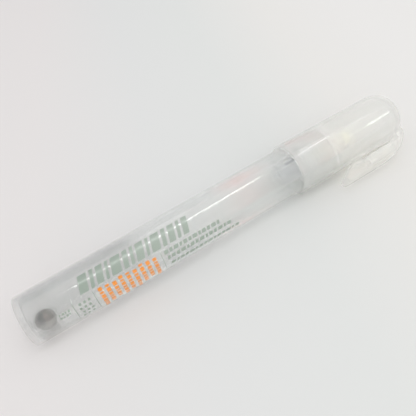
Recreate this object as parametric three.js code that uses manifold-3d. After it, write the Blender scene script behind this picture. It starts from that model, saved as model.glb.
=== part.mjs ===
// A refillable paint marker with its cap on, lying on its side.
// Units are millimetres. +X runs from the tail to the cap end, +Z is up, and the clip points towards -Y.
// Every piece is first made round the marker's own axis, with the tail face at x = 0.
// The whole marker is then moved so that the middle of its underside is the origin.

import * as THREE from 'three';
import { mergeVertices } from 'three/addons/utils/BufferGeometryUtils.js';
import Module from 'manifold-3d';

const wasm = await Module();
wasm.setup();

// Barrel: one moulding with a closed tail and a slightly thinner neck under the cap
const barrelRadius = 7.5;
const barrelWall = 0.9;
const bodyLength = 89.1;
const neckLength = 13.9;
const shoulderStep = 0.2;
const tailFloor = 1.6;
const tailCorner = 0.9;
const tailInnerCorner = 0.8;
const mouthChamfer = 0.3;

// Screw joint between the barrel and the nib holder, with plain walls that stand for the fine thread
const screwLength = 9.6;
const screwGap = 0.18;

// Mixing ball
const ballRadius = 3.0;

// Seal ring between the barrel's mouth and the holder's flange
const sealRingThickness = 0.7;

// Nib holder: screwed rear part, flange and nose
const flangeInset = 0.2;
const flangeThickness = 1.4;
const noseLength = 4.8;
const noseRootRadius = 5.4;
const noseTipRadius = 3.4;
const noseRound = 0.5;
const socketDepth = 4.2;
const fluteCount = 4;
const fluteWidth = 0.8;
const fluteDepth = 0.5;

// Nib: a felt rod with a bullet tip
const nibRadius = 2.3;
const nibReach = 3.7;
const nibTravel = 2.2;
const nibStopGap = 0.7;
const nibFlatRadius = 0.5;
const nibChamfer = 0.3;

// Valve: housing, soft seal, plunger and spring
const housingLength = 11.6;
const housingWall = 0.8;
const housingRearWall = 1.0;
const housingFrontWall = 1.2;
const windowCount = 3;
const windowWidth = 2.2;
const windowLength = 4.0;
const windowInset = 1.2;
const valveSealThickness = 0.8;
const plungerHeadThickness = 1.3;
const plungerRodRadius = 1.05;
const plungerStemRadius = 1.25;
const rodEndInset = 0.4;
const springCoilRadius = 2.2;
const springWireRadius = 0.25;
const springCurls = 6;

// Cap: a domed sleeve with a clip moulded onto it
const capLength = 42.3;
const capWall = 0.95;
const capTaper = 0.2;
const capEndWall = 1.3;
const capDomeLength = 6.0;
const capEndFlatRadius = 3.6;
const rimLipLength = 1.4;
const rimLipRound = 0.25;
const rimGrooveDepth = 0.15;
const rimGrooveLength = 0.9;
const rimToShoulder = 0.4;

// Clip on the cap
const clipReach = 13.8;
const clipWidth = 5.4;
const clipLength = 27.65;
const clipSlot = 1.0;
const clipSlotLength = 14.1;
const clipBumpLength = 3.0;
const clipBumpGap = 0.35;
const clipRampLength = 1.6;
const clipTipThickness = 1.8;
const clipTipRound = 1.9;
const clipEndInset = 1.7;
const clipRootLength = 3.65;
const clipShoulderLength = 10.6;
const clipCornerInset = 4.2;
const clipRootAngle = Math.PI / 6;
const clipEdgeRound = 0.4;
const clipCoreWidth = 2.4;
const clipCoreLength = 10.4;
const clipCoreInset = 2.4;
const clipSkin = 1.5;

// Fits
const seatGap = 0.2;
const slidingGap = 0.15;
const stemGap = 0.5;
const guideGap = 0.3;
const capSlidingGap = 0.25;
const springGap = 0.45;
const ballGap = 0.15;

// Facets
const roundSegments = 48;
const smallSegments = 32;
const springStepsPerCurl = 8;
const springSides = 5;
const arcSteps = 4;
const domeSteps = 7;
const clipRootSteps = 2;

// Places along the axis, worked out from the sizes above
const neckEnd = bodyLength + neckLength;
const barrelBore = barrelRadius - barrelWall;
const neckRadius = barrelRadius - shoulderStep;
const holderRadius = barrelBore - screwGap;
const flangeRadius = neckRadius - flangeInset;
const sealRingStart = neckEnd + seatGap;
const flangeStart = sealRingStart + sealRingThickness + seatGap;
const noseStart = flangeStart + flangeThickness;
const noseEnd = noseStart + noseLength;
const holderRear = neckEnd - screwLength;
const nibTip = noseEnd + nibReach;
const springOuterRadius = springCoilRadius + springWireRadius;
const housingBore = springOuterRadius + springGap;
const housingRadius = housingBore + housingWall;
const housingFront = holderRear + socketDepth - seatGap;
const housingRear = housingFront - housingLength;
const nibRear = housingFront + nibTravel + nibStopGap;
const valveSealEnd = housingFront - housingFrontWall - seatGap;
const headEnd = valveSealEnd - valveSealThickness - seatGap;
const headStart = headEnd - plungerHeadThickness;
const capRim = bodyLength + rimToShoulder;
const capEnd = capRim + capLength;
const capBore = neckRadius + capSlidingGap;
const capRadius = capBore + capWall;

// Shapes to solids

function solidFrom(geometry) {
  geometry.deleteAttribute('normal');
  geometry.deleteAttribute('uv');
  const merged = mergeVertices(geometry, 1e-5);
  const corners = merged.index.array;
  const kept = [];
  for (let i = 0; i < corners.length; i += 3) {
    const [a, b, c] = [corners[i], corners[i + 1], corners[i + 2]];
    if (a !== b && b !== c && c !== a) kept.push(a, b, c);
  }
  const vertProperties = new Float32Array(merged.attributes.position.array);
  return new wasm.Manifold(new wasm.Mesh({ numProp: 3, vertProperties, triVerts: new Uint32Array(kept) }));
}

function geometryFrom(solid) {
  const mesh = solid.getMesh();
  const geometry = new THREE.BufferGeometry();
  geometry.setAttribute('position', new THREE.BufferAttribute(mesh.vertProperties, 3));
  geometry.setIndex(new THREE.BufferAttribute(mesh.triVerts, 1));
  geometry.computeVertexNormals();
  return geometry;
}

// A profile is a list of [x, radius] points that runs from the rear to the front along the outside.
function revolve(profile, segments) {
  const points = profile.map(([x, radius]) => new THREE.Vector2(radius, x));
  const lathe = new THREE.LatheGeometry(points, segments);
  lathe.rotateZ(-Math.PI / 2);
  return solidFrom(lathe);
}

function arc(centreX, centreRadius, radiusX, radiusR, fromAngle, toAngle, steps) {
  const points = [];
  for (let i = 0; i <= steps; i += 1) {
    const angle = fromAngle + ((toAngle - fromAngle) * i) / steps;
    points.push([centreX + radiusX * Math.cos(angle), centreRadius + radiusR * Math.sin(angle)]);
  }
  return points;
}

function boxSolid(sizeX, sizeY, sizeZ, x, y, z, turn) {
  const box = new THREE.BoxGeometry(sizeX, sizeY, sizeZ);
  box.translate(x, y, z);
  box.rotateX(turn);
  return solidFrom(box);
}

// Barrel

function makeBarrel() {
  return revolve(
    [
      [0, 0],
      [0, barrelRadius - tailCorner],
      ...arc(tailCorner, barrelRadius - tailCorner, tailCorner, tailCorner, Math.PI, Math.PI / 2, arcSteps).slice(1),
      [bodyLength - shoulderStep, barrelRadius],
      [bodyLength, neckRadius],
      [neckEnd - mouthChamfer, neckRadius],
      [neckEnd, neckRadius - mouthChamfer],
      [neckEnd, barrelBore],
      ...arc(
        tailFloor + tailInnerCorner,
        barrelBore - tailInnerCorner,
        tailInnerCorner,
        tailInnerCorner,
        Math.PI / 2,
        Math.PI,
        arcSteps,
      ),
      [tailFloor, 0],
    ],
    roundSegments,
  );
}

// Mixing ball, resting on the barrel's wall beside the tail

function makeMixingBall() {
  const ball = new THREE.SphereGeometry(ballRadius, smallSegments, smallSegments / 2);
  const ballX = tailFloor + ballRadius + ballGap;
  const ballZ = -(barrelBore - ballRadius - ballGap);
  ball.translate(ballX, 0, ballZ);
  return solidFrom(ball);
}

// Seal ring

function makeSealRing() {
  const inner = holderRadius + slidingGap;
  const end = sealRingStart + sealRingThickness;
  return revolve(
    [
      [sealRingStart, inner],
      [sealRingStart, flangeRadius],
      [end, flangeRadius],
      [end, inner],
      [sealRingStart, inner],
    ],
    roundSegments,
  );
}

// Nib holder

function makeNibHolder() {
  const nibBore = nibRadius + slidingGap;
  const socketRadius = housingRadius + slidingGap;
  const socketFloor = holderRear + socketDepth;
  let holder = revolve(
    [
      [holderRear, socketRadius],
      [holderRear, holderRadius - mouthChamfer],
      [holderRear + mouthChamfer, holderRadius],
      [flangeStart, holderRadius],
      [flangeStart, flangeRadius],
      [noseStart - mouthChamfer, flangeRadius],
      [noseStart, flangeRadius - mouthChamfer],
      [noseStart, noseRootRadius],
      [noseEnd - noseRound, noseTipRadius],
      [noseEnd, noseTipRadius - noseRound],
      [noseEnd, nibBore],
      [socketFloor, nibBore],
      [socketFloor, socketRadius],
      [holderRear, socketRadius],
    ],
    roundSegments,
  );
  const fluteLength = noseEnd - socketFloor;
  const fluteReach = nibBore + fluteDepth;
  for (let i = 0; i < fluteCount; i += 1) {
    const turn = (i / fluteCount) * 2 * Math.PI;
    const middle = socketFloor + fluteLength / 2;
    holder = holder.subtract(
      boxSolid(fluteLength + 2 * seatGap, fluteReach, fluteWidth, middle, fluteReach / 2, 0, turn),
    );
  }
  return holder;
}

// Nib

function makeNib() {
  const domeLength = nibRadius;
  return revolve(
    [
      [nibRear, 0],
      [nibRear, nibRadius - nibChamfer],
      [nibRear + nibChamfer, nibRadius],
      ...arc(
        nibTip - domeLength,
        nibFlatRadius,
        domeLength,
        nibRadius - nibFlatRadius,
        Math.PI / 2,
        0,
        arcSteps,
      ),
      [nibTip, 0],
    ],
    smallSegments,
  );
}

// Valve pieces

function makeValveHousing() {
  const guideRadius = plungerRodRadius + guideGap;
  const stemHole = plungerStemRadius + stemGap;
  let housing = revolve(
    [
      [housingRear, guideRadius],
      [housingRear, housingRadius - mouthChamfer],
      [housingRear + mouthChamfer, housingRadius],
      [housingFront, housingRadius],
      [housingFront, stemHole],
      [housingFront - housingFrontWall, stemHole],
      [housingFront - housingFrontWall, housingBore],
      [housingRear + housingRearWall, housingBore],
      [housingRear + housingRearWall, guideRadius],
      [housingRear, guideRadius],
    ],
    smallSegments,
  );
  const windowMiddle = housingRear + housingRearWall + windowInset + windowLength / 2;
  for (let i = 0; i < windowCount; i += 1) {
    const turn = (i / windowCount) * 2 * Math.PI;
    const reach = housingRadius + seatGap;
    housing = housing.subtract(
      boxSolid(windowLength, reach, windowWidth, windowMiddle, reach / 2, 0, turn),
    );
  }
  return housing;
}

function makeValveSeal() {
  const start = valveSealEnd - valveSealThickness;
  const outer = housingBore - slidingGap;
  const inner = plungerStemRadius + slidingGap;
  return revolve(
    [
      [start, inner],
      [start, outer],
      [valveSealEnd, outer],
      [valveSealEnd, inner],
      [start, inner],
    ],
    smallSegments,
  );
}

function makeValvePlunger() {
  const rodStart = housingRear + rodEndInset;
  const stemEnd = nibRear - seatGap;
  return revolve(
    [
      [rodStart, 0],
      [rodStart, plungerRodRadius],
      [headStart, plungerRodRadius],
      [headStart, springOuterRadius],
      [headEnd, springOuterRadius],
      [headEnd, plungerStemRadius],
      [stemEnd, plungerStemRadius],
      [stemEnd, 0],
    ],
    smallSegments,
  );
}

class SpringCurve extends THREE.Curve {
  constructor(start, end) {
    super();
    this.start = start;
    this.end = end;
  }

  getPoint(t, target = new THREE.Vector3()) {
    const angle = t * springCurls * 2 * Math.PI;
    const x = this.start + (this.end - this.start) * t;
    return target.set(x, springCoilRadius * Math.cos(angle), springCoilRadius * Math.sin(angle));
  }
}

// The least gap between one curl and the next, measured on the points of the wire's centre line
function leastCurlGap(curve) {
  const steps = springCurls * springStepsPerCurl;
  const points = [];
  for (let i = 0; i <= steps; i += 1) points.push(curve.getPoint(i / steps));
  let least = Infinity;
  for (let i = 0; i < points.length; i += 1) {
    for (let j = i + springStepsPerCurl / 2; j < points.length; j += 1) {
      least = Math.min(least, points[i].distanceTo(points[j]) - 2 * springWireRadius);
    }
  }
  return least;
}

function makeValveSpring() {
  const start = housingRear + housingRearWall + seatGap + springWireRadius;
  const end = headStart - seatGap - springWireRadius;
  const curve = new SpringCurve(start, end);
  console.log(`valve spring: least gap between curls ${leastCurlGap(curve).toFixed(2)} mm`);
  const section = new THREE.Shape();
  for (let i = 0; i < springSides; i += 1) {
    const angle = (i / springSides) * 2 * Math.PI;
    const x = springWireRadius * Math.cos(angle);
    const y = springWireRadius * Math.sin(angle);
    if (i === 0) section.moveTo(x, y);
    else section.lineTo(x, y);
  }
  section.closePath();
  const wire = new THREE.ExtrudeGeometry(section, {
    steps: springCurls * springStepsPerCurl,
    extrudePath: curve,
    bevelEnabled: false,
  });
  return solidFrom(wire);
}

// Cap and clip

const domeStart = capEnd - capDomeLength;
const domeRadius = capRadius - capTaper;
const clipEnd = capEnd - clipEndInset;

// Part of the dome's side view, from a depth of 0 at the outside to 1 at the inside of the wall
function domeArc(depth, fromAngle, toAngle, steps) {
  return arc(
    domeStart,
    capEndFlatRadius - capWall * depth,
    capDomeLength - capEndWall * depth,
    domeRadius - capEndFlatRadius,
    fromAngle,
    toAngle,
    steps,
  );
}

function capOutline() {
  const lipEnd = capRim + rimLipLength;
  const grooveRadius = capRadius - rimGrooveDepth;
  return [
    [capRim, capRadius - rimLipRound],
    ...arc(
      capRim + rimLipRound,
      capRadius - rimLipRound,
      rimLipRound,
      rimLipRound,
      Math.PI,
      Math.PI / 2,
      2,
    ).slice(1),
    [lipEnd - rimLipRound, capRadius],
    [lipEnd, grooveRadius],
    [lipEnd + rimGrooveLength / 2, grooveRadius],
    [lipEnd + rimGrooveLength, capRadius],
    ...domeArc(0, Math.PI / 2, 0, domeSteps),
    [capEnd, 0],
  ];
}

function makeCapSleeve() {
  return revolve(
    [
      ...capOutline(),
      [capEnd - capEndWall, 0],
      ...domeArc(1, 0, Math.PI / 2, domeSteps),
      [capRim + mouthChamfer, capBore],
      [capRim, capBore + mouthChamfer],
      [capRim, capRadius - rimLipRound],
    ],
    roundSegments,
  );
}

// The clip's side view, with x along the cap and y as the distance from the marker's axis.
// Its root follows the middle of the dome's wall.
function clipOutline() {
  const clipTip = clipEnd - clipLength;
  const slotEnd = clipEnd - clipRootLength;
  const slotStart = slotEnd - clipSlotLength;
  const bumpEnd = slotStart - clipRampLength;
  const slotTop = capRadius + clipSlot;
  const bumpTop = capRadius + clipBumpGap;
  const rootAngle = Math.acos((slotEnd - domeStart) / (capDomeLength - capEndWall / 2));
  const outline = new THREE.Shape();
  outline.moveTo(slotEnd, slotTop);
  outline.lineTo(slotStart, slotTop);
  outline.lineTo(bumpEnd, bumpTop);
  outline.lineTo(bumpEnd - clipBumpLength, bumpTop);
  outline.lineTo(clipTip, clipReach - clipTipThickness);
  outline.quadraticCurveTo(clipTip, clipReach, clipTip + clipTipRound, clipReach);
  outline.lineTo(clipEnd - clipShoulderLength, clipReach);
  outline.quadraticCurveTo(clipEnd - clipCornerInset, clipReach, clipEnd, capRadius);
  for (const [x, radius] of domeArc(0.5, clipRootAngle, rootAngle, clipRootSteps)) outline.lineTo(x, radius);
  outline.closePath();
  return outline;
}

// The clip hangs down beside the cap until its lower edge is level with the cap's underside.
function clipTurn() {
  const halfWidth = clipWidth / 2;
  const cornerReach = Math.hypot(clipReach, halfWidth);
  const drop = Math.asin(capRadius / cornerReach) - Math.atan2(halfWidth, clipReach);
  return Math.PI + drop;
}

function makeClip() {
  const clip = new THREE.ExtrudeGeometry(clipOutline(), {
    depth: clipWidth - 2 * clipEdgeRound,
    bevelEnabled: true,
    bevelThickness: clipEdgeRound,
    bevelSize: clipEdgeRound,
    bevelOffset: -clipEdgeRound,
    bevelSegments: 2,
    curveSegments: 6,
  });
  clip.translate(0, 0, clipEdgeRound - clipWidth / 2);
  clip.rotateX(clipTurn());
  const coreTop = clipReach - clipSkin;
  const coreBottom = capRadius + clipSlot / 2;
  const coreEnd = clipEnd - clipRootLength - clipCoreInset;
  const core = boxSolid(
    clipCoreLength,
    coreTop - coreBottom,
    clipCoreWidth,
    coreEnd - clipCoreLength / 2,
    (coreTop + coreBottom) / 2,
    0,
    clipTurn(),
  );
  return solidFrom(clip).subtract(core);
}

function makeCap() {
  return makeCapSleeve().add(makeClip());
}

// Materials, one for each piece

function plastic(color, roughness) {
  return new THREE.MeshStandardMaterial({ color, roughness, metalness: 0 });
}

function steel(color, roughness) {
  return new THREE.MeshStandardMaterial({ color, roughness, metalness: 1 });
}

const pieces = [
  ['barrel', makeBarrel, plastic(0xd3d6d3, 0.38)],
  ['mixing_ball', makeMixingBall, steel(0x8b8785, 0.25)],
  ['seal_ring', makeSealRing, plastic(0xe4e4e0, 0.6)],
  ['nib_holder', makeNibHolder, plastic(0xe1e3e1, 0.45)],
  ['nib', makeNib, plastic(0xe4dfb4, 0.95)],
  ['valve_housing', makeValveHousing, plastic(0xcfd3d6, 0.45)],
  ['valve_seal', makeValveSeal, plastic(0xbfc2c4, 0.7)],
  ['valve_plunger', makeValvePlunger, plastic(0xd9dbdc, 0.45)],
  ['valve_spring', makeValveSpring, steel(0x8f949a, 0.3)],
  ['cap', makeCap, plastic(0xdfe1de, 0.35)],
];

const marker = new THREE.Group();
for (const [name, make, material] of pieces) {
  const mesh = new THREE.Mesh(geometryFrom(make()), material);
  mesh.name = name;
  marker.add(mesh);
}

const extent = new THREE.Box3().setFromObject(marker, true);
marker.position.set(
  -(extent.min.x + extent.max.x) / 2,
  -(extent.min.y + extent.max.y) / 2,
  -extent.min.z,
);

export default marker;
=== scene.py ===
import math

import bmesh
import bpy
from mathutils import Matrix, Vector


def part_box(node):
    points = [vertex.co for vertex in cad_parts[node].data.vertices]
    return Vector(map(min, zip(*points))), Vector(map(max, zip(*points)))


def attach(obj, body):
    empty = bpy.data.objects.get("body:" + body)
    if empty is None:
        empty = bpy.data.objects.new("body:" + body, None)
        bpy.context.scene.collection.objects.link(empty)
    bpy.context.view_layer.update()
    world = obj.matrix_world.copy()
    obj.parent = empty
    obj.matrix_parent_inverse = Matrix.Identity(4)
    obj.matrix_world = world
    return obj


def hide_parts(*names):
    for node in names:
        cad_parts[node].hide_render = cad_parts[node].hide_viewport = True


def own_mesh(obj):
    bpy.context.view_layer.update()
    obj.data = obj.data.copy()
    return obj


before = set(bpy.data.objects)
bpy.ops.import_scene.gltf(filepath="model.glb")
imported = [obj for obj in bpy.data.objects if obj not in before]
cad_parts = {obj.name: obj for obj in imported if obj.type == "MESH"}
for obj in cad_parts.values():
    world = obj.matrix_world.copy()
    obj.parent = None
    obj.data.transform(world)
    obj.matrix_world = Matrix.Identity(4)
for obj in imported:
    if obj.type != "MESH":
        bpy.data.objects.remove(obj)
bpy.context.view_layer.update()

# The camera looks down on the marker from its clip side, about 14 cm away, and colours are
# shown as they are. Places along the marker count from the middle of its tail face.
mm = 0.001
barrel_low, barrel_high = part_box("barrel")
tail = Vector((
    barrel_low.x,
    (barrel_low.y + barrel_high.y) / 2,
    (barrel_low.z + barrel_high.z) / 2,
))
barrel_radius = (barrel_high.z - barrel_low.z) / 2 / mm

camera_distance = 138.2
camera_along = 27.0
camera_elevation = math.radians(48)
camera_pan = math.radians(-13.69)
camera_tilt = math.radians(0.91)
picture_turn = math.radians(-29.93)
lens_mm = 40.56
sensor_mm = 36
nearest_seen = 0.01

towards_camera = Vector((0, -math.cos(camera_elevation), math.sin(camera_elevation)))
above_camera_line = Vector((0, math.sin(camera_elevation), math.cos(camera_elevation)))
square_on = Matrix((Vector((1, 0, 0)), above_camera_line, towards_camera)).transposed()
aim = (
    square_on
    @ Matrix.Rotation(camera_pan, 3, "Y")
    @ Matrix.Rotation(camera_tilt, 3, "X")
    @ Matrix.Rotation(picture_turn, 3, "Z")
)
place = tail + Vector((camera_along * mm, 0, 0)) + towards_camera * camera_distance * mm
camera_data = bpy.data.cameras.new("camera")
camera_data.lens = lens_mm
camera_data.sensor_width = sensor_mm
camera_data.clip_start = nearest_seen
camera = bpy.data.objects.new("camera", camera_data)
camera.matrix_world = Matrix.Translation(place) @ aim.to_4x4()
bpy.context.scene.collection.objects.link(camera)
bpy.context.scene.camera = camera
bpy.context.scene.view_settings.view_transform = "Standard"


# The marker lies on a pale table, on its tail's edge and its cap's rim, so the table slopes a
# little in the marker's own frame. The table's colour carries painted light: it grows brighter
# towards the cap's side, where more light falls, and is a little warmer towards the tail's side.
floor_size = 3.0
floor_squares = 8
floor_roughness = 0.9
floor_shine = 0.15
floor_light_reach = 0.2
floor_light_lean = -0.3
floor_light_middle = 0.5
cap_low, cap_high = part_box("cap")
floor_slope = math.atan2(barrel_low.z - cap_low.z, cap_low.x - barrel_low.x)


def rgb(red, green, blue):
    """A colour given as it looks on a screen, 0 to 255, as light values."""
    levels = [value / 255 for value in (red, green, blue)]
    light = [v / 12.92 if v <= 0.04045 else ((v + 0.055) / 1.055) ** 2.4 for v in levels]
    return (*light, 1.0)


def new_material(name):
    """A new material, with its nodes and its main shader."""
    material = bpy.data.materials.new(name)
    material.use_nodes = True
    tree = material.node_tree
    return material, tree, tree.nodes["Principled BSDF"]


def fill_ramp(ramp, stops):
    """Gives a colour ramp its stops, each of them a position and a colour."""
    for position, _ in stops[2:]:
        ramp.elements.new(position)
    for element, (position, colour) in zip(ramp.elements, stops):
        element.position = position
        element.color = colour


def in_scene(bm, name):
    """An object in the scene that has the finished mesh."""
    mesh = bpy.data.meshes.new(name)
    bm.to_mesh(mesh)
    bm.free()
    made = bpy.data.objects.new(name, mesh)
    bpy.context.scene.collection.objects.link(made)
    return made


# Painted light: the table's colour gets brighter towards the cap's side, standing in for the stronger
# light that falls there.
floor_painted_light = (
    (0.15, rgb(231, 227, 225)),
    (0.4, rgb(227, 227, 225)),
    (0.6, rgb(227, 228, 225)),
    (0.8, rgb(234, 232, 228)),
    (1.0, rgb(236, 234, 231)),
)
bm = bmesh.new()
bmesh.ops.create_grid(bm, x_segments=floor_squares, y_segments=floor_squares, size=floor_size / 2)
bmesh.ops.rotate(bm, verts=bm.verts, cent=(0, 0, 0), matrix=Matrix.Rotation(floor_slope, 3, "Y"))
touching = Vector((cap_low.x, 0, cap_low.z))
bmesh.ops.translate(bm, verts=bm.verts, vec=touching)
floor = in_scene(bm, "table_top")
floor_material, tree, shader = new_material("table_paper")
shader.inputs["Roughness"].default_value = floor_roughness
shader.inputs["Specular IOR Level"].default_value = floor_shine
# The ramp spreads the painted light across the table, from the tail's side to the cap's side.
where = tree.nodes.new("ShaderNodeTexCoord")
across = tree.nodes.new("ShaderNodeVectorMath")
across.operation = "DOT_PRODUCT"
across.inputs[1].default_value = (1 / floor_light_reach, floor_light_lean / floor_light_reach, 0)
shift = tree.nodes.new("ShaderNodeMath")
shift.inputs[1].default_value = floor_light_middle
ramp_node = tree.nodes.new("ShaderNodeValToRGB")
fill_ramp(ramp_node.color_ramp, floor_painted_light)
tree.links.new(where.outputs["Object"], across.inputs[0])
tree.links.new(across.outputs["Value"], shift.inputs[0])
tree.links.new(shift.outputs["Value"], ramp_node.inputs["Fac"])
tree.links.new(ramp_node.outputs["Color"], shader.inputs["Base Color"])
floor.data.materials.append(floor_material)


# What gloss mirrors is the same room with a dim wall beside the tail, a bright window beside
# the cap and something rosy at the window's near edge. The stops run from the tail's side, 0,
# to the cap's side, 1.
room_strength = 0.79
room_colour = (0.97, 0.98, 1.0, 1)
dim_wall = (0.03, 0.06, 0.09, 1)
window_light = (1.3, 1.3, 1.3, 1)
rosy_light = (1.8, 0.88, 0.83, 1)
mirrored_room = (
    (0.5, dim_wall),
    (0.525, window_light),
    (0.615, window_light),
    (0.65, rosy_light),
    (0.69, window_light),
)
most_walls_crossed = 24

world = bpy.data.worlds.new("room")
world.use_nodes = True
tree = world.node_tree
room = tree.nodes["Background"]
room.inputs["Strength"].default_value = room_strength
where = tree.nodes.new("ShaderNodeTexCoord")
sides = tree.nodes.new("ShaderNodeSeparateXYZ")
spread = tree.nodes.new("ShaderNodeMapRange")
spread.inputs["From Min"].default_value = -1
mirrored = tree.nodes.new("ShaderNodeValToRGB")
fill_ramp(mirrored.color_ramp, mirrored_room)
ray = tree.nodes.new("ShaderNodeLightPath")
choose = tree.nodes.new("ShaderNodeMix")
choose.data_type = "RGBA"
choose.inputs["A"].default_value = room_colour
tree.links.new(where.outputs["Generated"], sides.inputs["Vector"])
tree.links.new(sides.outputs["X"], spread.inputs["Value"])
tree.links.new(spread.outputs["Result"], mirrored.inputs["Fac"])
tree.links.new(mirrored.outputs["Color"], choose.inputs["B"])
tree.links.new(ray.outputs["Is Glossy Ray"], choose.inputs["Factor"])
tree.links.new(choose.outputs["Result"], room.inputs["Color"])
bpy.context.scene.world = world
bpy.context.scene.cycles.max_bounces = most_walls_crossed
bpy.context.scene.cycles.transmission_bounces = most_walls_crossed
bpy.context.scene.cycles.transparent_max_bounces = 2 * most_walls_crossed


# Five flat lamps: a wide soft one overhead, a large one in front that gloss doesn't mirror, and
# three narrow ones for the streaks of light on the barrel, on the cap and on the stretch of
# barrel beside the cap.
warm_white = (1.0, 0.98, 0.95)
white = (1.0, 1.0, 1.0)


def lamp(name, size, watts, place, colour, mirrored=True):
    """A flat lamp that faces the marker's middle."""
    data = bpy.data.lights.new(name, "AREA")
    data.shape = "RECTANGLE"
    data.size, data.size_y = size
    data.energy = watts
    data.color = colour
    light = bpy.data.objects.new(name, data)
    turn = Vector(place).to_track_quat("Z", "Y").to_matrix().to_4x4()
    light.matrix_world = Matrix.Translation(place) @ turn
    light.visible_glossy = mirrored
    bpy.context.scene.collection.objects.link(light)


lamp("soft_ceiling_lamp", size=(1.4, 1.2), watts=0.5, place=(0.45, -0.2, 1.3), colour=warm_white)
lamp(
    "front_lamp", size=(1.8, 1.2), watts=3.8, place=(0.1, -1.2, 0.6), colour=warm_white,
    mirrored=False,
)
lamp("strip_lamp", size=(0.9, 0.07), watts=2.5, place=(0.12, -0.24, 1.4), colour=white)
lamp("cap_lamp", size=(0.35, 0.15), watts=1.1, place=(1.12, -1.0, 1.1), colour=white)
lamp("neck_lamp", size=(0.6, 0.1), watts=0.3, place=(0.76, -0.27, 1.35), colour=white)


# Barrel: a clear-milky polypropylene tube moulded in one piece with its tail, where the gate
# left a small dish. Its neck is a little slimmer under the cap and takes the nib holder's
# screw. Outside, the plastic has sunk a little over the turns of the thread.
body_length = 89.1
neck_end = 103.0
barrel_wall = 0.9
neck_step = 0.2
tail_floor = 1.6
tail_round = 0.9
inner_round = 0.8
edge_round = 0.3
gate_radius = 1.1
gate_depth = 0.25
bore = barrel_radius - barrel_wall
neck_radius = barrel_radius - neck_step
barrel_thread = (95.1, 102.1)
thread_pitch = 1.4
thread_flank = 1.4
points_per_turn = 12
sink_depth = 0.4
sink_crest = 0.3
round_steps = 128
corner_steps = 4
weld_distance = 1e-7
wall_tolerance = 0.01
crease_angle = math.radians(32)

plastic_ior = 1.49
gloss_ior = 2.0
cloud_scale = 300
cloud_detail = 3
cloud_range = (0.3, 0.7)
flow_scale = 700
flow_detail = 2
flow_stretch = 0.08
flow_strength = 0.05
flow_height = 0.02


def arc(x, radius, size_x, size_r, start, end, steps=8):
    """Points of an arc in the side view, from one angle to another."""
    angles = [start + (end - start) * i / steps for i in range(steps + 1)]
    return [(x + size_x * math.cos(a), radius + size_r * math.sin(a)) for a in angles]


def rear_corner(x, radius, size, steps=corner_steps):
    """The rounded outer corner of an end that faces the tail."""
    return arc(x + size, radius - size, size, size, math.pi, math.pi / 2, steps)


def front_corner(x, radius, size, steps=corner_steps):
    """The rounded outer corner of an end that faces the nib."""
    return arc(x - size, radius - size, size, size, math.pi / 2, 0, steps)


def turned(outline, steps=round_steps):
    """A body turned about the marker's axis from points of millimetres along it and out from it."""
    bm = bmesh.new()
    points = [bm.verts.new(tail + Vector((x, 0, radius)) * mm) for x, radius in outline]
    ends = [] if outline[0][1] == 0 and outline[-1][1] == 0 else [(points[-1], points[0])]
    sides = [bm.edges.new(pair) for pair in list(zip(points, points[1:])) + ends]
    bmesh.ops.spin(
        bm, geom=points + sides, cent=tail, axis=(1, 0, 0), dvec=(0, 0, 0),
        angle=2 * math.pi, steps=steps, use_merge=True,
    )
    bmesh.ops.remove_doubles(bm, verts=bm.verts, dist=weld_distance)
    bmesh.ops.recalc_face_normals(bm, faces=bm.faces)
    return bm


def thread_points(start, end, radius):
    """Points close enough together, from start to end, for the turns of the thread."""
    steps = round((end - start) / thread_pitch * points_per_turn)
    return [(start + (end - start) * i / steps, radius) for i in range(steps + 1)]


def cut_thread(bm, start, end, radius, depth, crest=0.0):
    """Draws the wall at this radius in to a right-hand thread that fades out at its two ends."""
    for vert in bm.verts:
        x, y, z = (vert.co - tail) / mm
        out = math.hypot(y, z)
        if abs(out - radius) > wall_tolerance or not start < x < end:
            continue
        fade = min(1, (x - start) / thread_pitch, (end - x) / thread_pitch)
        wave = 0.5 - 0.5 * math.cos(2 * math.pi * x / thread_pitch - math.atan2(z, y))
        inset = depth * fade * min(1, thread_flank * max(0, wave - crest) / (1 - crest))
        vert.co = tail + Vector((x, y * (out - inset) / out, z * (out - inset) / out)) * mm


def as_piece(bm, name, material):
    """The finished piece, smooth but for its creases."""
    piece = in_scene(bm, name)
    piece.data.shade_smooth()
    piece.data.set_sharp_from_angle(angle=crease_angle)
    piece.data.materials.append(material)
    return piece


def add_bump(tree, height, strength, distance):
    """Lets a height, at most this many millimetres, roughen the shader's surface."""
    bump = tree.nodes.new("ShaderNodeBump")
    bump.inputs["Strength"].default_value = strength
    bump.inputs["Distance"].default_value = distance * mm
    tree.links.new(height, bump.inputs["Height"])
    tree.links.new(bump.outputs["Normal"], tree.nodes["Principled BSDF"].inputs["Normal"])


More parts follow.
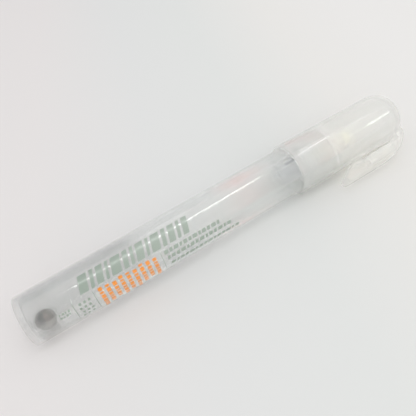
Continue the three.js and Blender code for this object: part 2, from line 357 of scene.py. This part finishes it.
def make_moulded_skin():
    """Faint cloudiness and flow lines of a moulded surface: a roughness and a height."""
    group = bpy.data.node_groups.new("moulded_skin", "ShaderNodeTree")
    for name in ("Smoothest", "Roughest"):
        group.interface.new_socket(name, in_out="INPUT", socket_type="NodeSocketFloat")
    for name in ("Roughness", "Height"):
        group.interface.new_socket(name, in_out="OUTPUT", socket_type="NodeSocketFloat")
    nodes, links = group.nodes, group.links
    given = nodes.new("NodeGroupInput")
    result = nodes.new("NodeGroupOutput")
    place = nodes.new("ShaderNodeTexCoord")
    clouds = nodes.new("ShaderNodeTexNoise")
    clouds.inputs["Scale"].default_value = cloud_scale
    clouds.inputs["Detail"].default_value = cloud_detail
    links.new(place.outputs["Object"], clouds.inputs["Vector"])
    spread = nodes.new("ShaderNodeMapRange")
    spread.inputs["From Min"].default_value = cloud_range[0]
    spread.inputs["From Max"].default_value = cloud_range[1]
    links.new(clouds.outputs["Fac"], spread.inputs["Value"])
    links.new(given.outputs["Smoothest"], spread.inputs["To Min"])
    links.new(given.outputs["Roughest"], spread.inputs["To Max"])
    links.new(spread.outputs["Result"], result.inputs["Roughness"])
    stretch = nodes.new("ShaderNodeMapping")
    stretch.inputs["Scale"].default_value = (flow_stretch, 1, 1)
    flow = nodes.new("ShaderNodeTexNoise")
    flow.inputs["Scale"].default_value = flow_scale
    flow.inputs["Detail"].default_value = flow_detail
    links.new(place.outputs["Object"], stretch.inputs["Vector"])
    links.new(stretch.outputs["Vector"], flow.inputs["Vector"])
    links.new(flow.outputs["Fac"], result.inputs["Height"])
    return group


moulded_skin = make_moulded_skin()


def milky_plastic(
    name, colour, cover, clearness, glow, smoothest, roughest, gloss, polish=0.05, lamplight=0.5
):
    """Natural polypropylene: it shows some of what is behind it, clear and clouded, and glows.

    Cover is how much of the surface is seen, and lamplight the share of the lamps' light that
    goes straight through it and past it.
    """
    material, tree, shader = new_material(name)
    shader.inputs["Base Color"].default_value = colour
    shader.inputs["IOR"].default_value = plastic_ior
    shader.inputs["Transmission Weight"].default_value = clearness
    shader.inputs["Alpha"].default_value = cover
    shader.inputs["Coat Weight"].default_value = gloss
    shader.inputs["Coat Roughness"].default_value = polish
    shader.inputs["Coat IOR"].default_value = gloss_ior
    skin = tree.nodes.new("ShaderNodeGroup")
    skin.node_tree = moulded_skin
    skin.inputs["Smoothest"].default_value = smoothest
    skin.inputs["Roughest"].default_value = roughest
    tree.links.new(skin.outputs["Roughness"], shader.inputs["Roughness"])
    add_bump(tree, skin.outputs["Height"], flow_strength, flow_height)
    through = tree.nodes.new("ShaderNodeBsdfTranslucent")
    through.inputs["Color"].default_value = colour
    both = tree.nodes.new("ShaderNodeMixShader")
    both.inputs["Fac"].default_value = glow
    tree.links.new(shader.outputs["BSDF"], both.inputs[1])
    tree.links.new(through.outputs["BSDF"], both.inputs[2])
    path = tree.nodes.new("ShaderNodeLightPath")
    share = tree.nodes.new("ShaderNodeMath")
    share.operation = "MULTIPLY"
    share.inputs[1].default_value = lamplight
    tree.links.new(path.outputs["Is Shadow Ray"], share.inputs[0])
    passed = tree.nodes.new("ShaderNodeBsdfTransparent")
    lit = tree.nodes.new("ShaderNodeMixShader")
    tree.links.new(share.outputs["Value"], lit.inputs["Fac"])
    tree.links.new(both.outputs["Shader"], lit.inputs[1])
    tree.links.new(passed.outputs["BSDF"], lit.inputs[2])
    tree.links.new(lit.outputs["Shader"], tree.nodes["Material Output"].inputs["Surface"])
    return material


bm = turned(
    [(gate_depth, 0), (gate_depth, gate_radius), (0, gate_radius + gate_depth)]
    + rear_corner(0, barrel_radius, tail_round, steps=8)
    + [(body_length - neck_step, barrel_radius), (body_length, neck_radius)]
    + thread_points(*barrel_thread, neck_radius)
    + [(neck_end - edge_round, neck_radius), (neck_end, neck_radius - edge_round), (neck_end, bore)]
    + arc(
        tail_floor + inner_round, bore - inner_round, inner_round, inner_round,
        math.pi / 2, math.pi,
    )
    + [(tail_floor, 0)]
)
cut_thread(bm, *barrel_thread, neck_radius, sink_depth, sink_crest)
barrel_plastic = milky_plastic(
    "barrel_plastic", rgb(241, 243, 241), cover=0.36, clearness=0.82, glow=0.1,
    smoothest=0.03, roughest=0.06, gloss=1.0, polish=0.05, lamplight=0.4,
)
barrel = as_piece(bm, "barrel_moulding", barrel_plastic)
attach(barrel, "barrel")
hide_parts("barrel")


# Mixing ball: a polished steel ball that lies loose in the barrel beside the tail. It stirs
# the paint when the marker is shaken.
ball_low, ball_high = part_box("mixing_ball")
ball_middle = (ball_low + ball_high) / 2
ball_radius = (ball_high.x - ball_low.x) / 2
ball_fineness = 5


def steel(name, colour, roughness):
    """Bare steel, more or less bright."""
    material, _, shader = new_material(name)
    shader.inputs["Base Color"].default_value = colour
    shader.inputs["Metallic"].default_value = 1
    shader.inputs["Roughness"].default_value = roughness
    return material


bm = bmesh.new()
bmesh.ops.create_icosphere(bm, subdivisions=ball_fineness, radius=ball_radius)
bmesh.ops.translate(bm, verts=bm.verts, vec=ball_middle)
ball_steel = steel("ball_steel", rgb(122, 115, 108), roughness=0.05)
ball = as_piece(bm, "steel_ball", ball_steel)
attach(ball, "ball")
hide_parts("mixing_ball")


# Seal ring: a soft polyethylene washer squeezed between the barrel's mouth and the holder's
# flange. It is punched from sheet, so its edges are only just rounded.
ring_start = 103.2
ring_end = 103.9
ring_inner = 6.57
ring_outer = 7.1
ring_round = 0.12


def rounded_ring(start, end, inner, outer, size):
    """The side view of a ring with rounded edges."""
    half = math.pi / 2
    return (
        arc(start + size, inner + size, size, size, 3 * half, 2 * half, corner_steps)
        + rear_corner(start, outer, size)
        + front_corner(end, outer, size)
        + arc(end - size, inner + size, size, size, 0, -half, corner_steps)
    )


bm = turned(rounded_ring(ring_start, ring_end, ring_inner, ring_outer, ring_round))
seal_plastic = milky_plastic(
    "seal_plastic", rgb(250, 251, 250), cover=0.5, clearness=0.2, glow=0.4,
    smoothest=0.3, roughest=0.45, gloss=0.0,
)
seal = as_piece(bm, "soft_seal_ring", seal_plastic)
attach(seal, "gasket")
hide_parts("seal_ring")


# Nib holder: a natural polypropylene moulding. Its threaded rear screws into the barrel's
# neck, its flange stops on the seal ring, and four flutes in its nose let paint past the nib.
holder_rear = 93.4
holder_radius = 6.42
holder_thread = (94.4, 101.4)
thread_depth = 0.47
flange_start = 104.1
flange_end = 105.5
flange_radius = 7.1
nose_root_radius = 5.4
nose_tip_radius = 3.4
nose_end = 110.3
nose_round = 0.5
nib_bore = 2.45
socket_radius = 3.85
socket_floor = 97.6
flute_count = 4
flute_width = 0.8
flute_depth = 0.5
flute_overlap = 0.2


def block(x, radius, size_x, size_r, width, turn):
    """A box that starts at a radius, runs along the marker and is turned about its axis."""
    bm = bmesh.new()
    middle = Vector((x + size_x / 2, 0, radius + size_r / 2)) * mm
    bmesh.ops.create_cube(bm, size=1)
    bmesh.ops.scale(bm, verts=bm.verts, vec=Vector((size_x, width, size_r)) * mm)
    bmesh.ops.translate(bm, verts=bm.verts, vec=middle)
    bmesh.ops.rotate(bm, verts=bm.verts, cent=(0, 0, 0), matrix=Matrix.Rotation(turn, 3, "X"))
    bmesh.ops.translate(bm, verts=bm.verts, vec=tail)
    return bm


def combine(piece, other, operation):
    """Joins another closed mesh to the piece, or takes it out of the piece."""
    tool = in_scene(other, "tool")
    change = piece.modifiers.new("change", "BOOLEAN")
    change.operation = operation
    change.solver = "EXACT"
    change.object = tool
    graph = bpy.context.evaluated_depsgraph_get()
    made = bpy.data.meshes.new_from_object(piece.evaluated_get(graph))
    piece.modifiers.clear()
    piece.data = made
    bpy.data.objects.remove(tool)


bm = turned(
    [(holder_rear, socket_radius), (holder_rear, holder_radius - edge_round)]
    + [(holder_rear + edge_round, holder_radius)]
    + thread_points(*holder_thread, holder_radius)
    + [(flange_start, holder_radius)]
    + rear_corner(flange_start, flange_radius, edge_round)
    + front_corner(flange_end, flange_radius, edge_round)
    + [(flange_end, nose_root_radius), (nose_end - nose_round, nose_tip_radius)]
    + [(nose_end, nose_tip_radius - nose_round), (nose_end, nib_bore)]
    + [(socket_floor, nib_bore), (socket_floor, socket_radius)]
)
cut_thread(bm, *holder_thread, holder_radius, thread_depth)
holder_plastic = milky_plastic(
    "holder_plastic", rgb(253, 254, 254), cover=0.35, clearness=0.4, glow=0.25,
    smoothest=0.12, roughest=0.16, gloss=1.0,
)
holder = as_piece(bm, "nib_holder_moulding", holder_plastic)
flute_start = socket_floor - flute_overlap
flute_length = nose_end - socket_floor + 2 * flute_overlap
flute_height = nib_bore + flute_depth - flute_overlap
for i in range(flute_count):
    turn = 2 * math.pi * i / flute_count
    flute = block(flute_start, flute_overlap, flute_length, flute_height, flute_width, turn)
    combine(holder, flute, "DIFFERENCE")
holder.data.set_sharp_from_angle(angle=crease_angle)
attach(holder, "front_section")
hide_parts("nib_holder")


# Nib: a rod of pressed cream felt with a bullet tip, held in the holder's nose. It slides
# back a little under the hand and pushes the valve open.
nib_rear = 100.3
nib_tip = 114.0
nib_radius = 2.3
nib_flat = 0.5
nib_edge = 0.3
nib_rings = 10
nib_roughness = 0.95
nib_sheen = 0.3
fibre_scale = 4500
fibre_detail = 4
fibre_stretch = 0.25
fibre_strength = 0.6
fibre_height = 0.05
fibre_tints = ((0.35, rgb(230, 225, 198)), (0.65, rgb(248, 244, 226)))

straight_length = nib_tip - nib_radius - nib_rear
bm = turned(
    [(nib_rear, 0)]
    + rear_corner(nib_rear, nib_radius, nib_edge)
    + [(nib_rear + straight_length * i / nib_rings, nib_radius) for i in range(1, nib_rings)]
    + arc(nib_tip - nib_radius, nib_flat, nib_radius, nib_radius - nib_flat, math.pi / 2, 0, steps=12)
    + [(nib_tip, 0)],
    steps=64,
)
nib_felt, tree, shader = new_material("nib_felt")
shader.inputs["Roughness"].default_value = nib_roughness
shader.inputs["Sheen Weight"].default_value = nib_sheen
where = tree.nodes.new("ShaderNodeTexCoord")
stretch = tree.nodes.new("ShaderNodeMapping")
stretch.inputs["Scale"].default_value = (fibre_stretch, 1, 1)
fibres = tree.nodes.new("ShaderNodeTexNoise")
fibres.inputs["Scale"].default_value = fibre_scale
fibres.inputs["Detail"].default_value = fibre_detail
ramp_node = tree.nodes.new("ShaderNodeValToRGB")
fill_ramp(ramp_node.color_ramp, fibre_tints)
tree.links.new(where.outputs["Object"], stretch.inputs["Vector"])
tree.links.new(stretch.outputs["Vector"], fibres.inputs["Vector"])
tree.links.new(fibres.outputs["Fac"], ramp_node.inputs["Fac"])
tree.links.new(ramp_node.outputs["Color"], shader.inputs["Base Color"])
add_bump(tree, fibres.outputs["Fac"], fibre_strength, fibre_height)
nib = as_piece(bm, "felt_nib", nib_felt)
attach(nib, "writing_tip")
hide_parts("nib")


# Valve housing: a thin polypropylene cage pressed into the back of the holder. Three windows
# let the paint in, and a hole in its rear wall guides the plunger's rod.
housing_rear = 85.8
housing_front = 97.4
housing_radius = 3.7
housing_bore = 2.9
housing_rear_wall = 1.0
housing_front_wall = 1.2
rod_hole = 1.35
stem_hole = 1.75
window_count = 3
window_width = 2.2
window_start = 88.0
window_length = 4.0
window_root = 2.0
window_height = 2.4

inside_rear = housing_rear + housing_rear_wall
inside_front = housing_front - housing_front_wall
bm = turned(
    [(housing_rear, rod_hole)]
    + rear_corner(housing_rear, housing_radius, edge_round)
    + [(housing_front, housing_radius), (housing_front, stem_hole)]
    + [(inside_front, stem_hole), (inside_front, housing_bore)]
    + [(inside_rear, housing_bore), (inside_rear, rod_hole)],
    steps=96,
)
housing = as_piece(bm, "valve_cage", holder_plastic)
for i in range(window_count):
    turn = 2 * math.pi * i / window_count
    window = block(window_start, window_root, window_length, window_height, window_width, turn)
    combine(housing, window, "DIFFERENCE")
housing.data.set_sharp_from_angle(angle=crease_angle)
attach(housing, "front_section")
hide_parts("valve_housing")


# Valve seal: a soft polyethylene washer at the housing's front wall, which the plunger's head
# shuts against.
valve_seal_start = 95.2
valve_seal_end = 96.0
valve_seal_inner = 1.4
valve_seal_outer = 2.75

bm = turned(
    rounded_ring(valve_seal_start, valve_seal_end, valve_seal_inner, valve_seal_outer, ring_round),
    steps=64,
)
valve_seal = as_piece(bm, "valve_washer", seal_plastic)
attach(valve_seal, "front_section")
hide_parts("valve_seal")


# Valve plunger: a turned-looking polypropylene moulding with a guide rod behind its head and
# a stem in front of it that the nib pushes on.
plunger_low, plunger_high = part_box("valve_plunger")
rod_start = (plunger_low.x - tail.x) / mm
stem_end = (plunger_high.x - tail.x) / mm
rod_radius = 1.05
stem_radius = 1.25
head_radius = 2.45
head_start = 93.7
head_end = 95.0
head_round = 0.25

bm = turned(
    [(rod_start, 0), (rod_start, rod_radius - head_round), (rod_start + head_round, rod_radius)]
    + [(head_start, rod_radius)]
    + rear_corner(head_start, head_radius, head_round)
    + front_corner(head_end, head_radius, head_round)
    + [(head_end, stem_radius), (stem_end - head_round, stem_radius)]
    + [(stem_end, stem_radius - head_round), (stem_end, 0)],
    steps=64,
)
plunger = as_piece(bm, "valve_stem", holder_plastic)
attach(plunger, "writing_tip")
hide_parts("valve_plunger")


# Valve spring: six curls of drawn steel wire between the housing's rear wall and the plunger's
# head. It shortens as the nib is pressed.
spring_low, spring_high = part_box("valve_spring")
coil_radius = 2.2
wire_radius = 0.25
curls = 6
steps_per_curl = 32
wire_sides = 12

spring_length = spring_high.x - spring_low.x
bm = bmesh.new()
bmesh.ops.create_circle(bm, cap_ends=False, segments=wire_sides, radius=wire_radius * mm)
bmesh.ops.rotate(bm, verts=bm.verts, cent=(0, 0, 0), matrix=Matrix.Rotation(math.pi / 2, 3, "X"))
start_of_wire = Vector((spring_low.x + wire_radius * mm, tail.y, tail.z + coil_radius * mm))
bmesh.ops.translate(bm, verts=bm.verts, vec=start_of_wire)
rise = (spring_length - 2 * wire_radius * mm) / (curls * steps_per_curl)
bmesh.ops.spin(
    bm, geom=bm.verts[:] + bm.edges[:], cent=tail, axis=(1, 0, 0), dvec=(rise, 0, 0),
    angle=2 * math.pi * curls, steps=curls * steps_per_curl, use_merge=False,
)
bmesh.ops.holes_fill(bm, edges=[e for e in bm.edges if e.is_boundary], sides=wire_sides)
bmesh.ops.recalc_face_normals(bm, faces=bm.faces)
spring_steel = steel("spring_steel", rgb(140, 147, 160), roughness=0.3)
spring = as_piece(bm, "coil_spring", spring_steel)
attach(spring, "front_section")
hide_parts("valve_spring")
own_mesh(spring)


# Cap: a push-on polypropylene cap moulded in one piece with its clip. A lip and a groove run
# round its rim, and its end is a flat-topped dome that the clip grows out of.
cap_rim = (cap_low.x - tail.x) / mm
cap_end = (cap_high.x - tail.x) / mm
cap_radius = (cap_high.z - cap_low.z) / 2 / mm
cap_wall = 0.95
cap_bore = cap_radius - cap_wall
cap_taper = 0.2
cap_end_wall = 1.3
dome_length = 6.0
dome_start = cap_end - dome_length
dome_radius = cap_radius - cap_taper
dome_steps = 20
end_flat_radius = 3.6
lip_length = 1.4
lip_round = 0.25
lip_round_end = 0.6
groove_length = 0.9
groove_depth = 0.15

clip_reach = 13.8
clip_width = 5.4
clip_length = 27.65
clip_slot = 1.0
clip_slot_length = 14.1
clip_root_length = 3.65
clip_end_inset = 1.7
clip_corner_inset = 4.2
clip_ramp = 1.6
clip_bump_length = 3.0
clip_bump_gap = 0.35
clip_tip_thickness = 1.8
clip_tip_round = 1.9
clip_shoulder = 10.6
clip_edge = 0.5
clip_edge_steps = 4
clip_root_angle = math.pi / 6
core_length = 10.4
core_width = 2.4
core_gap = 2.4
core_skin = 0.5
core_top = 1.5


def dome(depth, start, end, steps):
    """Part of the dome's side view, from the outside at depth 0 to the inside at depth 1."""
    return arc(
        dome_start, end_flat_radius - cap_wall * depth,
        cap_end - dome_start - cap_end_wall * depth, dome_radius - end_flat_radius,
        start, end, steps,
    )


lip_end = cap_rim + lip_length
bm = turned(
    rear_corner(cap_rim, cap_radius, lip_round, steps=6)
    + arc(
        lip_end - lip_round, cap_radius - lip_round, lip_round, lip_round,
        math.pi / 2, lip_round_end, steps=5,
    )
    + [(lip_end, cap_radius - groove_depth)]
    + [(lip_end + groove_length / 2, cap_radius - groove_depth)]
    + [(lip_end + groove_length, cap_radius)]
    + dome(0, math.pi / 2, 0, dome_steps)
    + [(cap_end, 0), (cap_end - cap_end_wall, 0)]
    + dome(1, 0, math.pi / 2, dome_steps)
    + [(cap_rim + edge_round, cap_bore), (cap_rim, cap_bore + edge_round)]
)
cap_plastic = milky_plastic(
    "cap_plastic", rgb(251, 251, 248), cover=0.5, clearness=0.84, glow=0.18,
    smoothest=0.2, roughest=0.26, gloss=1.0, polish=0.16, lamplight=0.57,
)
cap = as_piece(bm, "cap_moulding", cap_plastic)


def curve(a, b, c, steps=8):
    """Points of a curve from a to c that leans towards b, without its first one."""
    return [
        tuple((1 - t) ** 2 * p + 2 * t * (1 - t) * q + t * t * r for p, q, r in zip(a, b, c))
        for t in [i / steps for i in range(1, steps + 1)]
    ]


clip_end = cap_end - clip_end_inset
clip_tip = clip_end - clip_length
slot_end = clip_end - clip_root_length
slot_start = slot_end - clip_slot_length
slot_top = cap_radius + clip_slot
bump_end = slot_start - clip_ramp
bump_top = cap_radius + clip_bump_gap
tip_foot = (clip_tip, clip_reach - clip_tip_thickness)
tip_top = (clip_tip + clip_tip_round, clip_reach)
shoulder = (clip_end - clip_shoulder, clip_reach)
root_angle = math.acos((slot_end - dome_start) / (cap_end - cap_end_wall / 2 - dome_start))
clip_outline = (
    [(slot_end, slot_top), (slot_start, slot_top)]
    + [(bump_end, bump_top), (bump_end - clip_bump_length, bump_top)]
    + [tip_foot]
    + curve(tip_foot, (clip_tip, clip_reach), tip_top)
    + [shoulder]
    + curve(shoulder, (clip_end - clip_corner_inset, clip_reach), (clip_end, cap_radius), steps=16)
    + dome(0.5, clip_root_angle, root_angle, steps=8)
)
corner_reach = math.hypot(clip_reach, clip_width / 2)
clip_drop = math.asin(cap_radius / corner_reach) - math.atan2(clip_width / 2, clip_reach)

bm = bmesh.new()
side = bm.faces.new([bm.verts.new(Vector((x, r, -clip_width / 2)) * mm) for x, r in clip_outline])
grown = bmesh.ops.extrude_face_region(bm, geom=[side])
far_side = [v for v in grown["geom"] if isinstance(v, bmesh.types.BMVert)]
bmesh.ops.translate(bm, verts=far_side, vec=(0, 0, clip_width * mm))
bmesh.ops.recalc_face_normals(bm, faces=bm.faces)
rims = [e for e in bm.edges if abs(e.verts[0].co.z - e.verts[1].co.z) < clip_width * mm / 2]
bmesh.ops.bevel(
    bm, geom=rims, offset=clip_edge * mm, offset_type="OFFSET", affect="EDGES",
    segments=clip_edge_steps, profile=0.5, material=-1, clamp_overlap=False,
)
clip_turn = Matrix.Rotation(math.pi + clip_drop, 3, "X")
bmesh.ops.rotate(bm, verts=bm.verts, cent=(0, 0, 0), matrix=clip_turn)
bmesh.ops.translate(bm, verts=bm.verts, vec=tail)
combine(cap, bm, "UNION")
core_start = slot_end - core_gap - core_length
core_root = cap_radius + core_skin
core_height = clip_reach - core_top - cap_radius - core_skin
core = block(core_start, core_root, core_length, core_height, core_width, math.pi / 2 + clip_drop)
combine(cap, core, "DIFFERENCE")
cap.data.shade_smooth()
cap.data.set_sharp_from_angle(angle=crease_angle)
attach(cap, "cap")
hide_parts("cap")


# Print: two inks screen-printed on the barrel, plain bars, rules and dashes in grey-green and
# columns of dashes in orange. Each ink is a thin film that lies on the barrel's skin. Heights
# are angles in degrees, from level on the clip's side.
ink_lift = 0.008
ink_thickness = 0.02
ink_roughness = 0.35
ink_gloss = 0.8
ink_polish = 0.06
patch_step = 3


def stamp(bm, along, length, low, high, lean=0.0):
    """A patch of ink that starts at a place along the barrel and goes from low to high."""
    rows = max(2, round((high - low) / patch_step))
    made = bmesh.ops.create_grid(bm, x_segments=1, y_segments=rows, size=0.5)
    for vert in made["verts"]:
        share = vert.co.y + 0.5
        x = along + (vert.co.x + 0.5) * length + lean * (share - 0.5)
        vert.co = Vector((x, low + (high - low) * share, 0))


def ink_film(bm, name, material):
    """Gives the patches their thickness and lays them round the barrel."""
    grown = bmesh.ops.extrude_face_region(bm, geom=bm.faces[:])
    for vert in grown["geom"]:
        if isinstance(vert, bmesh.types.BMVert):
            vert.co.z = ink_thickness
    for vert in bm.verts:
        radius = barrel_radius + ink_lift + vert.co.z
        angle = math.radians(vert.co.y)
        vert.co = tail + Vector((vert.co.x, -radius * math.cos(angle), radius * math.sin(angle))) * mm
    bmesh.ops.recalc_face_normals(bm, faces=bm.faces)
    return as_piece(bm, name, material)


def ink(name, colour):
    """Dried screen-printing ink with a smooth skin."""
    material, _, shader = new_material(name)
    shader.inputs["Base Color"].default_value = colour
    shader.inputs["Roughness"].default_value = ink_roughness
    shader.inputs["Coat Weight"].default_value = ink_gloss
    shader.inputs["Coat Roughness"].default_value = ink_polish
    return material


bm = bmesh.new()
bar_start = 17.4
bar_height = (39, 76)
bar_widths = (2.6, 1.1, 2.0, 0.9, 2.9, 1.5, 1.0, 2.3, 0.9, 2.6, 1.3, 2.0, 1.0, 1.8)
bar_gap = 0.78
bar_lean = 1.4
x = bar_start
for width in bar_widths:
    stamp(bm, x, width, *bar_height, lean=bar_lean)
    x += width + bar_gap

rule_places = (13.5, 19.7, 40.5)
rule_width = 0.14
rule_height = (-17, 33)
for rule in rule_places:
    stamp(bm, rule, rule_width, *rule_height)

row_start = 41.6
row_shift = 0.4
row_heights = ((22, 31), (7, 16), (-12, -3))
row_counts = (12, 14, 15)
row_widths = (1.25, 1.0, 1.5, 0.8)
row_gap = 0.42
row_lean = 0.2
for row, (low, high) in enumerate(row_heights):
    x = row_start + row_shift * row
    for dash in range(row_counts[row]):
        width = row_widths[(dash - row) % len(row_widths)]
        stamp(bm, x, width, low, high, lean=row_lean)
        x += width + row_gap

mark_start = 9.3
mark_pitch = 0.85
mark_widths = (0.6, 0.4)
mark_height = (12, 17)
mark_rise = 8
mark_rows = 2
mark_columns = 4
for row in range(mark_rows):
    low, high = (height + mark_rise * row for height in mark_height)
    for column in range(mark_columns):
        width = mark_widths[(column + row) % len(mark_widths)]
        stamp(bm, mark_start + mark_pitch * column, width, low, high)

dot_start = 14.7
dot_pitch = 1.35
dot_shift = 0.3
dot_width = 0.7
dot_height = (-14, -8)
dot_rise = 11
dot_rows = 4
dot_columns = 3
for row in range(dot_rows):
    low, high = (height + dot_rise * row for height in dot_height)
    for column in range(dot_columns):
        stamp(bm, dot_start + dot_pitch * column + dot_shift * (row % 2), dot_width, low, high)

green_ink = ink("green_ink", rgb(158, 170, 158))
green_print = ink_film(bm, "green_print", green_ink)
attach(green_print, "barrel")

bm = bmesh.new()
column_start = 21.2
column_count = 9
column_pitch = 2.07
column_width = 1.15
column_tops = (33, 31, 29)
column_feet = (-30, -22, -14, -26, -18)
foot_overrun = 2
dash_lengths = (8, 5, 10, 7, 4)
dash_gap = 2.7
for column in range(column_count):
    top = column_tops[column % len(column_tops)]
    lowest = column_feet[column % len(column_feet)]
    dash = column
    while top > lowest:
        length = dash_lengths[dash % len(dash_lengths)]
        low = max(top - length, lowest - foot_overrun)
        stamp(bm, column_start + column_pitch * column, column_width, low, top)
        top -= length + dash_gap
        dash += 1

orange_ink = ink("orange_ink", rgb(243, 152, 62))
orange_print = ink_film(bm, "orange_print", orange_ink)
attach(orange_print, "barrel")
